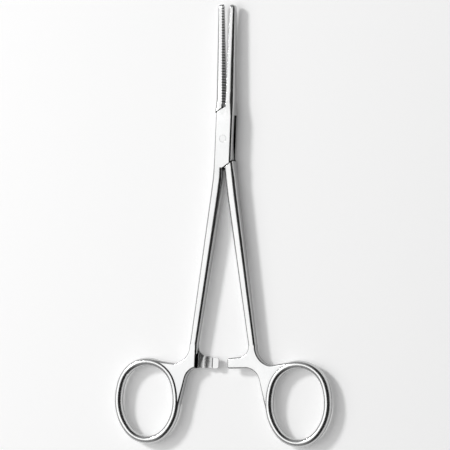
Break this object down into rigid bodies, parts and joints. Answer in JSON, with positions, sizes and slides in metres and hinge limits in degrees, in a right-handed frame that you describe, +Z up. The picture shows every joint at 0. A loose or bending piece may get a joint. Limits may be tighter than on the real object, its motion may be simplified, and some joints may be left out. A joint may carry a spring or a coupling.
{
  "type": "hemostat forceps",
  "caption": "Straight locking artery forceps with serrated jaws, a slotted box lock, a toothed ratchet and finger rings, lying flat and slightly open.",
  "frame": {"origin": "on the pivot's axis, at the underside of the box lock", "axes": "+Y along the instrument towards the jaw tips, +X to the tongue half's ring, +Z up, away from the surface it lies on"},
  "size_m": [0.0986, 0.185, 0.007],
  "materials": {
    "satin_steel": "satin",
    "pin_steel": "satin"
  },
  "bodies": {
    "box_side": {"box_half": "satin_steel", "pivot_pin": "pin_steel"},
    "tongue_side": {"tongue_half": "satin_steel"}
  },
  "joints": [
    {"name": "pivot", "type": "hinge", "parent": "box_side", "child": "tongue_side", "pos_m": [0, 0, 0], "axis": [0, 0, 1], "range_deg": [-3.7, 66.3]}
  ]
}
